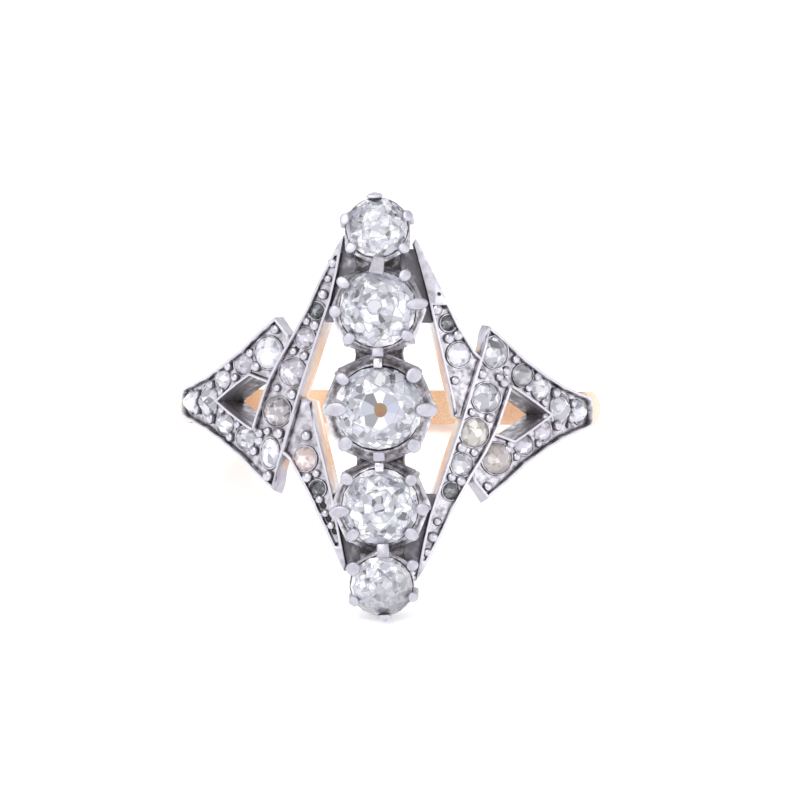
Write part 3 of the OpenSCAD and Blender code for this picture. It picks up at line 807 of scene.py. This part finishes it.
bead = {
    "radius": 0.24, "uneven": 0.14, "flat": 0.7, "sunk": 0.07, "spread": 0.3, "segments": (14, 9),
    # a bead's foot is painted dark as the shade where it sits on the bed
    "tone": 0.15, "foot": 0.95, "footTo": 0.25, "worn": 0.3,
    # places of those that stand by themselves, on both halves
    "lone": {
        "shoulder": [(-5.25, 3.75), (-6.2, 1.95)],
        "bar": [
            (-5.55, -3.3), (-6, -1.25), (-3.65, -1.35), (-2.85, 5.45), (-2.62, 6.2), (-2.38, 6.95),
        ],
    },
    "atTips": [(-2.97, -4.42), (-2.69, -5.09), (-2.4, -5.67), (2.75, 4.75)],  # of the short bars
}
drillHole = {
    # the holes are dark flattened balls: painted shade that stands in for their depth
    "turn": 34.3775, "long": 1.25, "flat": 0.42, "tone": 1.3, "segments": (6, 5),
    # x, y and radius, and for the one that isn't on the bed its height over it
    "places": {
        "bar": [
            (-2.81, -4.7, 0.17), (-2.54, -5.34, 0.16), (-2.23, -5.96, 0.14), (-2.1, -6.54, 0.07),
            (3.12, 4.9, 0.13), (2.81, 5.5, 0.09, 0.28), (-4.16, 2.83, 0.14), (-4.83, -1.6, 0.08),
        ],
        "shoulder": [
            (7.13, 1.0, 0.17), (7.38, 1.5, 0.12), (8.01, 0.33, 0.17), (9.15, -0.35, 0.12),
            (9.02, -0.8, 0.15), (6.63, 2.2, 0.12), (6.6, 1.1, 0.12), (8.57, 1.0, 0.14),
            (-7.16, -1.1, 0.17), (-7.94, -0.15, 0.17), (-7.45, 2.16, 0.12), (-6.04, -1.31, 0.15),
            (-8.69, 1.16, 0.1), (-8.96, 0.94, 0.1),
        ],
    },
}
seats = {"shoulder": 10.35, "bar": 10.5}  # radius of the rails round a stone


def onBed(seat, x, y):
    radius = seats[seat]
    turn = Matrix.Rotation(math.asin(x / radius), 4, "Y")
    return turn @ Matrix.Translation((0, y, radius - front["bed"]))


def addBead(bm, seat, x, y):  # no two have quite the same size
    size = bead["radius"] * (1 + bead["uneven"] * math.sin(37 * x + 61 * y))
    high = size * bead["flat"]
    grain = ball(bead["segments"], size, Matrix.Diagonal((1, 1, bead["flat"], 1)))
    foot = high * bead["footTo"]
    # painted shade round the foot
    rub(grain, lambda face, v: bead["foot"] if v.co.z < foot else bead["tone"], worn=bead["worn"])
    place = onBed(seat, x, y) @ Matrix.Translation((0, 0, high - bead["sunk"]))
    bmesh.ops.transform(grain, matrix=place, verts=grain.verts)
    addTo(bm, grain)


def addHole(bm, seat, x, y, size, height=0):
    shape = turnedBy(drillHole["turn"]) @ Matrix.Diagonal((1, drillHole["long"], drillHole["flat"], 1))
    place = onBed(seat, x, y) @ Matrix.Translation((0, 0, height)) @ shape
    hole = ball(drillHole["segments"], size, place)
    # painted shade in the hole
    rub(hole, drillHole["tone"])
    addTo(bm, hole)


def seenReach(stone, way):  # from a stone's middle to its rim
    lean = math.cos(math.asin(stone[0] / seats[stone[4]]))
    return math.hypot(way.x * stone[2] * lean, way.y * stone[3]) / 2 / way.length


def makeBeads():
    bm = bmesh.new()
    for seat, places in bead["lone"].items():
        for x, y in places:
            addBead(bm, seat, x, y)
            addBead(bm, seat, -x, -y)
    for place in bead["atTips"]:
        addBead(bm, "bar", *place)
    for seat, places in drillHole["places"].items():
        for place in places:
            addHole(bm, seat, *place)
    for stones in smallStones.values():
        for first, second in runs:
            a, b = stones[first], stones[second]
            way = Vector((b[0] - a[0], b[1] - a[1]))
            share = 0.5 + (seenReach(a, way) - seenReach(b, way)) / 2 / way.length
            side = Vector((-way.y, way.x)) / way.length * bead["spread"] * min(a[2], b[2])
            seat = "shoulder" if "shoulder" in (a[4], b[4]) else "bar"
            for k in (-1, 1):
                middle = Vector(a[:2]) + way * share + side * k
                addBead(bm, seat, middle.x, middle.y)
    return bm


addPiece(makeBeads(), "beads", 60)

smallSeat = {
    "floor": 0.012,
    "segments": 28,
    "lip": [(0.03, 0.06), (0.07, 0.06), (0.11, -0.01)],  # how far out and how high
    "insideTo": 0.02,
    "tones": (0.6, 0.3),  # inside and outside
}


def makeSeats():
    bm = bmesh.new()
    for x, y, width, length, bed, tone in sum(smallStones.values(), []):
        collar, reach = bmesh.new(), width / 2
        bmesh.ops.create_circle(collar, cap_ends=True, segments=smallSeat["segments"], radius=reach)
        bmesh.ops.translate(collar, verts=collar.verts[:], vec=(0, 0, smallSeat["floor"]))
        for out, up in smallSeat["lip"]:
            rim = [e for e in collar.edges if e.is_boundary]
            for v in newVerts(bmesh.ops.extrude_edge_only(collar, edges=rim)):
                v.co = (v.co.xy.normalized() * (reach + out)).to_3d() + Vector((0, 0, up))
        inner = reach + smallSeat["insideTo"]
        rub(collar, lambda face, v: smallSeat["tones"][v.co.xy.length >= inner and v.co.z >= 0])
        place = onBed(bed, x, y) @ Matrix.Diagonal((1, length / width, 1, 1))
        bmesh.ops.transform(collar, matrix=place, verts=collar.verts)
        addTo(bm, collar)
    return bm


addPiece(makeSeats(), "small_seats")
print("beads and small seats")

collet = {
    "foot": 0.74,
    "belowSeam": 0.35,
    "slices": 5,
    # by the number of sides: width and roundness of the sloping shelf, and where a corner lies
    "shelf": {8: (0.24, 0.6), 6: (0.1, 0.3)},
    "cornerAt": {8: 0, 6: 30},
}


def ringTo(verts, radius, height, roundness, sides):
    cornerAt = math.radians(collet["cornerAt"][sides])
    for v in verts:
        angle = math.atan2(v.co.y, v.co.x)
        offCorner = (angle - cornerAt) % (math.tau / sides) - math.pi / sides
        flat = math.cos(math.pi / sides) / math.cos(offCorner)
        reach = radius * (flat + (1 - flat) * roundness)
        v.co = (reach * math.cos(angle), reach * math.sin(angle), height)


def makeCollet(stone):
    out, reach, sides = stone["collet"], stone["width"] / 2, stone["sides"]
    deep = stone["z"] - front["seam"] + collet["belowSeam"]
    slope, roundness = collet["shelf"][sides]
    # radius, height, how round, and tarnish with painted shade, darkest inside under the stone: up the
    # outside, over the sloping shelf and down inside
    profile = [
        (out * collet["foot"], -deep, 0.3, 0.22), (out * 0.97, -0.62, 0.1, 0.36), (out, -0.54, 0.1, 0.22),
        (out - 0.06, -0.46, 0.12, 0.2), (out - 0.22, -0.36, 0.25, 0.5),
        (reach + slope, -0.22, roundness, 0.7), (reach + 0.06, -0.1, 1, 0.45), (reach + 0.02, -0.08, 1, 0.5),
        (reach * 0.9, -0.3, 1, 0.8), (reach * 0.5, -1.25, 1, 1.0), (reach * 0.4, -deep, 1, 0.8),
    ]
    bm = bmesh.new()
    dirtAndShade = bm.verts.layers.float.new("dirtAndShade")
    ring = bmesh.ops.create_circle(bm, segments=sides * collet["slices"], radius=1)["verts"]
    first = edges = bm.edges[:]
    for place, (radius, height, bulge, tone) in enumerate(profile):
        if place:
            made = bmesh.ops.extrude_edge_only(bm, edges=edges)
            ring = newVerts(made)
            level = set(ring)
            edges = [g for g in made["geom"] if isinstance(g, bmesh.types.BMEdge) and set(g.verts) <= level]
        ringTo(ring, radius, height, bulge, sides)
        for v in ring:
            v[dirtAndShade] = tone
    bmesh.ops.bridge_loops(bm, edges=first + edges)
    bmesh.ops.recalc_face_normals(bm, faces=bm.faces)
    rub(bm, lambda face, v: v[dirtAndShade])
    bm.verts.layers.float.remove(dirtAndShade)
    bmesh.ops.transform(bm, matrix=stoneFrame(stone), verts=bm.verts)
    return bm


for name, stone in row.items():
    addPiece(makeCollet(stone), name.replace("diamond", "collet"))

claw = {
    "tilt": 8, "thick": 0.2, "taper": 0.96, "edge": 0.085, "lift": 0.3, "wide": 1.16,
    "postTop": 0.2, "postFoot": 0.15, "postIn": 0.15, "postDrop": 0.06, "postOut": 0.95, "footZ": -0.85,
    "segments": {"tip": 24, "edge": 3, "post": 14}, "tone": 0.1, "worn": 0.75,
}
# painted shadow lines between the stone and the last claw at each end: angle, reach, length and width
clawShadow = {
    "tone": 1.3, "thick": 0.24, "segments": (12, 8),
    "lines": {"diamond_top_end": (94, 1.33, 0.1, 0.74), "diamond_bottom_end": (-86, 1.33, 0.1, 0.6)},
}


def addTip(bm, place, length, width):
    tip = bmesh.new()
    place = place @ Matrix.Diagonal((length / 2, width / 2, claw["thick"], 1))
    bmesh.ops.create_cone(tip, cap_ends=True, segments=claw["segments"]["tip"], radius1=1,
                          radius2=claw["taper"], depth=1, matrix=place)
    caps = [f for f in tip.faces if len(f.verts) > 4]
    soften(tip, list({e for f in caps for e in f.edges}), claw["edge"], claw["segments"]["edge"])
    addTo(bm, tip)


def between(start, end):
    way = end - start
    turn = way.to_track_quat("Z", "X").to_matrix().to_4x4()
    return Matrix.Translation((start + end) / 2) @ turn, way.length


def makeClaws():
    bm = startPiece()
    tilt = Matrix.Rotation(math.radians(claw["tilt"]), 4, "Y")
    for stone in row.values():
        for angle, reach, length, width in stone["claws"]:
            spoke = stoneFrame(stone) @ turnedBy(angle)
            tip = spoke @ Matrix.Translation((reach, 0, claw["lift"])) @ tilt
            addTip(bm, tip, length * claw["wide"], width * claw["wide"])
            top = spoke @ Vector((reach + length * claw["postIn"], 0, claw["lift"] - claw["postDrop"]))
            foot = spoke @ Vector((stone["collet"] * claw["postOut"], 0, claw["footZ"]))
            place, long = between(foot, top)
            bmesh.ops.create_cone(bm, cap_ends=True, segments=claw["segments"]["post"], depth=long,
                                  radius1=claw["postFoot"], radius2=claw["postTop"], matrix=place)
    rub(bm, claw["tone"], worn=claw["worn"])
    # painted shadow under the last claw at each end
    for name, (angle, reach, length, width) in clawShadow["lines"].items():
        place = stoneFrame(row[name]) @ turnedBy(angle) @ Matrix.Translation((reach, 0, claw["lift"]))
        line = ball(clawShadow["segments"], 0.5, place @ Matrix.Diagonal((length, width, clawShadow["thick"], 1)))
        rub(line, clawShadow["tone"])
        addTo(bm, line)
    return bm


sharedClaw = {
    "wide": 0.5, "thick": 0.3, "round": 0.06, "overAbove": -0.04, "overBelow": 0.14,
    # from the top end down, the parts of each: start, end, width above and below, shift above and
    # below, tarnish and wear
    "parts": [
        [(0, 1, 1.05, 1.5, 0.12, -0.05, 0.4, 0.5)],
        [(0, 0.46, 1.1, 1.1, 0, 0, 0.3, 0.7), (0.53, 1, 0.85, 0.85, 0, 0, 0.05, 0.1)],
        [(0, 0.46, 1.1, 1.1, 0, 0, 0.3, 0.7), (0.53, 1, 0.85, 0.85, 0, 0, 0.05, 0.1)],
        [(-0.15, 0.8, 1.15, 1.25, 0.1, 0.12, 0.4, 0.5)],
    ],
}
mainStones = list(row.values())
neighbours = list(zip(mainStones, mainStones[1:]))


def makeSharedClaws():
    bm = startPiece()
    for (above, below), parts in zip(neighbours, sharedClaw["parts"]):
        top = stoneFrame(above) @ Vector((0, sharedClaw["overAbove"] - above["width"] / 2, claw["lift"]))
        foot = stoneFrame(below) @ Vector((0, below["width"] / 2 - sharedClaw["overBelow"], claw["lift"]))
        for start, end, wideAbove, wideBelow, shiftAbove, shiftBelow, tone, worn in parts:
            upper = top.lerp(foot, start) + Vector((shiftAbove, 0, 0))
            lower = top.lerp(foot, end) + Vector((shiftBelow, 0, 0))
            place, long = between(lower, upper)
            part = bmesh.new()
            shape = Matrix.Diagonal((sharedClaw["thick"], sharedClaw["wide"], long, 1))
            bmesh.ops.create_cube(part, size=1, matrix=shape)
            for v in part.verts:
                v.co.y *= wideAbove if v.co.z > 0 else wideBelow
            bmesh.ops.transform(part, matrix=place, verts=part.verts)
            soften(part, part.edges[:], sharedClaw["round"])
            rub(part, tone, worn=worn)
            addTo(bm, part)
    return bm


addPiece(makeClaws(), "claws", 50)
addPiece(makeSharedClaws(), "shared_claws", 50)

neck = {
    "width": 2.1, "length": 2.3, "flares": [0.48, 0.7, 0.7, 0.48], "slices": 12, "round": 0.06, "lower": 0.5,
    "sharpFrom": 1, "tone": 0.85,
}


def makeNecks():
    bm = startPiece()
    foot = front["seam"] - collet["belowSeam"]
    for (above, below), flare in zip(neighbours, neck["flares"]):
        middle = (above["y"] - above["collet"] + below["y"] + below["collet"]) / 2
        top = min(above["z"], below["z"]) - neck["lower"]
        block = bmesh.new()
        shape = Matrix.Diagonal((neck["width"], neck["length"], top - foot, 1))
        bmesh.ops.create_cube(block, size=1, matrix=shape)
        for k in range(1, neck["slices"]):
            cutAt(block, (0, (k / neck["slices"] - 0.5) * neck["length"], 0), (0, 1, 0))
        for v in block.verts:  # the waist widens towards both collets
            v.co.x *= 1 + flare * (abs(v.co.y) / neck["length"] * 2) ** 2
        sharp = [e for e in block.edges if e.calc_face_angle(0) > neck["sharpFrom"]]
        soften(block, sharp, neck["round"])
        rub(block, neck["tone"])
        place = turnedBy(rowTurn) @ Matrix.Translation((0, middle, (top + foot) / 2))
        bmesh.ops.transform(block, matrix=place, verts=block.verts)
        addTo(bm, block)
    return bm


addPiece(makeNecks(), "necks")
print("collets, claws and necks")

studio = {
    "floorTones": [(0.3, (0.93, 0.93, 0.935)), (0.7, (0.96, 0.96, 0.965))],
    "floorGrain": 400,
    "floorRoughness": 0.7,
    "floorGlow": 0.3,
    "floorSize": 6,
    # azimuth, elevation, distance, size and power
    "lights": {
        "key": (-35, 60, 0.45, 0.22, 0.6),
        "fill": (50, 30, 0.5, 0.3, 0.2),
        "back": (180, 50, 0.5, 0.3, 0.4),
    },
    # the room that the metal mirrors, in soft light and dark patches
    "patches": (1.6, 2.0),  # scale and detail
    "patchTones": [(0.4, 0.28), (0.5, 0.8), (0.6, 1.2)],
    "patchBlue": 1.03,
}


def makeFloor():
    bm = bmesh.new()
    bmesh.ops.create_grid(bm, x_segments=2, y_segments=2, size=studio["floorSize"] / 2)
    mesh = bpy.data.meshes.new("floor")
    bm.to_mesh(mesh)
    bm.free()
    floor = bpy.data.objects.new("floor", mesh)
    bpy.context.scene.collection.objects.link(floor)
    material, tree, shader = newMaterial("pale floor")
    grain = noise(tree, node(tree, "TexCoord").outputs["Object"], studio["floorGrain"])
    feed(tree, shader, {
        "Base Color": ramp(tree, grain, studio["floorTones"]), "Roughness": studio["floorRoughness"],
        "Emission Color": (1, 1, 1, 1), "Emission Strength": studio["floorGlow"],
    })
    mesh.materials.append(material)


def makeLights():
    for name, (azimuth, elevation, distance, size, power) in studio["lights"].items():
        light = bpy.data.objects.new(name, bpy.data.lights.new(name, "AREA"))
        light.data.size = size
        light.data.energy = power
        back = direction(azimuth, elevation)
        light.location = back * distance
        light.rotation_euler = (-back).to_track_quat("-Z", "Y").to_euler()
        bpy.context.scene.collection.objects.link(light)


def makeRoom():
    world = bpy.data.worlds.new("white room")
    bpy.context.scene.world = world
    world.use_nodes = True
    tree = world.node_tree
    xyz = node(tree, "SeparateXYZ", {"Vector": node(tree, "TexCoord").outputs["Generated"]}).outputs
    even = node(tree, "CombineXYZ", {0: calc(tree, "ABSOLUTE", xyz[0]), 1: xyz[1], 2: xyz[2]}).outputs[0]
    patches = noise(tree, even, *studio["patches"])
    tones = [(place, (tone, tone, tone * studio["patchBlue"])) for place, tone in studio["patchTones"]]
    seen = node(tree, "LightPath").outputs["Is Camera Ray"]  # plain white behind the floor
    colour = mixColour(tree, seen, ramp(tree, patches, tones), (1, 1, 1, 1))
    feed(tree, tree.nodes["Background"], {"Color": colour})
    bpy.context.scene.view_settings.view_transform = "Standard"


makeFloor()
makeLights()
makeRoom()
print("studio with", len(studio["lights"]), "lights")
